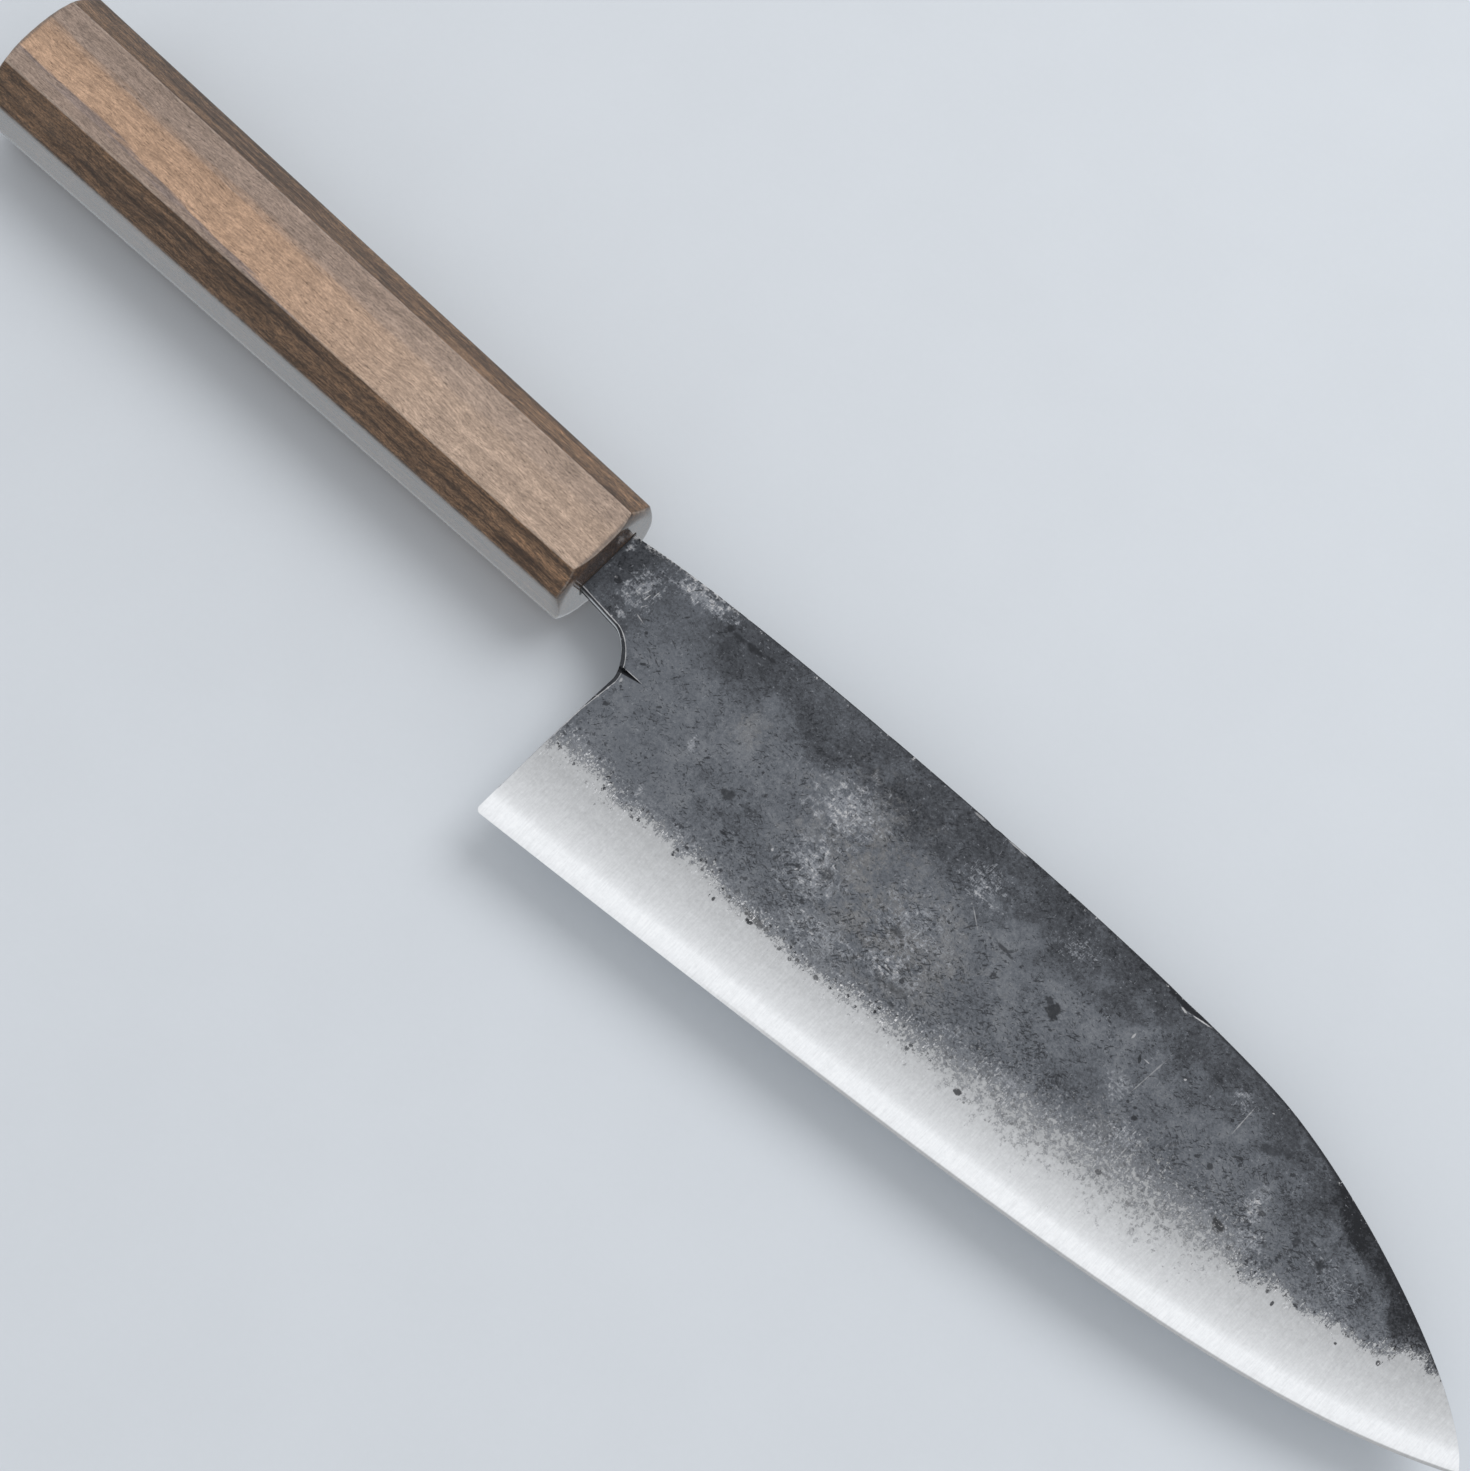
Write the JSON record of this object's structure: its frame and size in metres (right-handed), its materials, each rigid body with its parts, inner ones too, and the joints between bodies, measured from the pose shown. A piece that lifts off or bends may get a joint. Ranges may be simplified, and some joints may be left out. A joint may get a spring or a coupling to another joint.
{
  "type": "santoku knife",
  "caption": "Santoku kitchen knife with a black-forged, three-layer blade, a bright ground edge and a plain octagonal wooden handle.",
  "frame": {"origin": "middle of the knife's outline seen from above, at the level of its lowest point, the lower edge of the butt", "axes": "+X from the butt to the tip, along the handle's axis; +Y from the cutting edge to the spine; +Z out of the right face of the blade, upwards as the knife lies on its left side"},
  "size_m": [0.2954, 0.052, 0.0203],
  "materials": {
    "core_steel": "ground",
    "forged_iron": "black forge scale",
    "handle_wood": "oiled",
    "bedding_resin": "matt",
    "seal_wax": "satin"
  },
  "bodies": {
    "root": {"core_steel": "core_steel", "cladding_right": "forged_iron", "cladding_left": "forged_iron", "handle": "handle_wood", "tang_bedding": "bedding_resin", "mouth_seal": "seal_wax"}
  },
  "joints": []
}
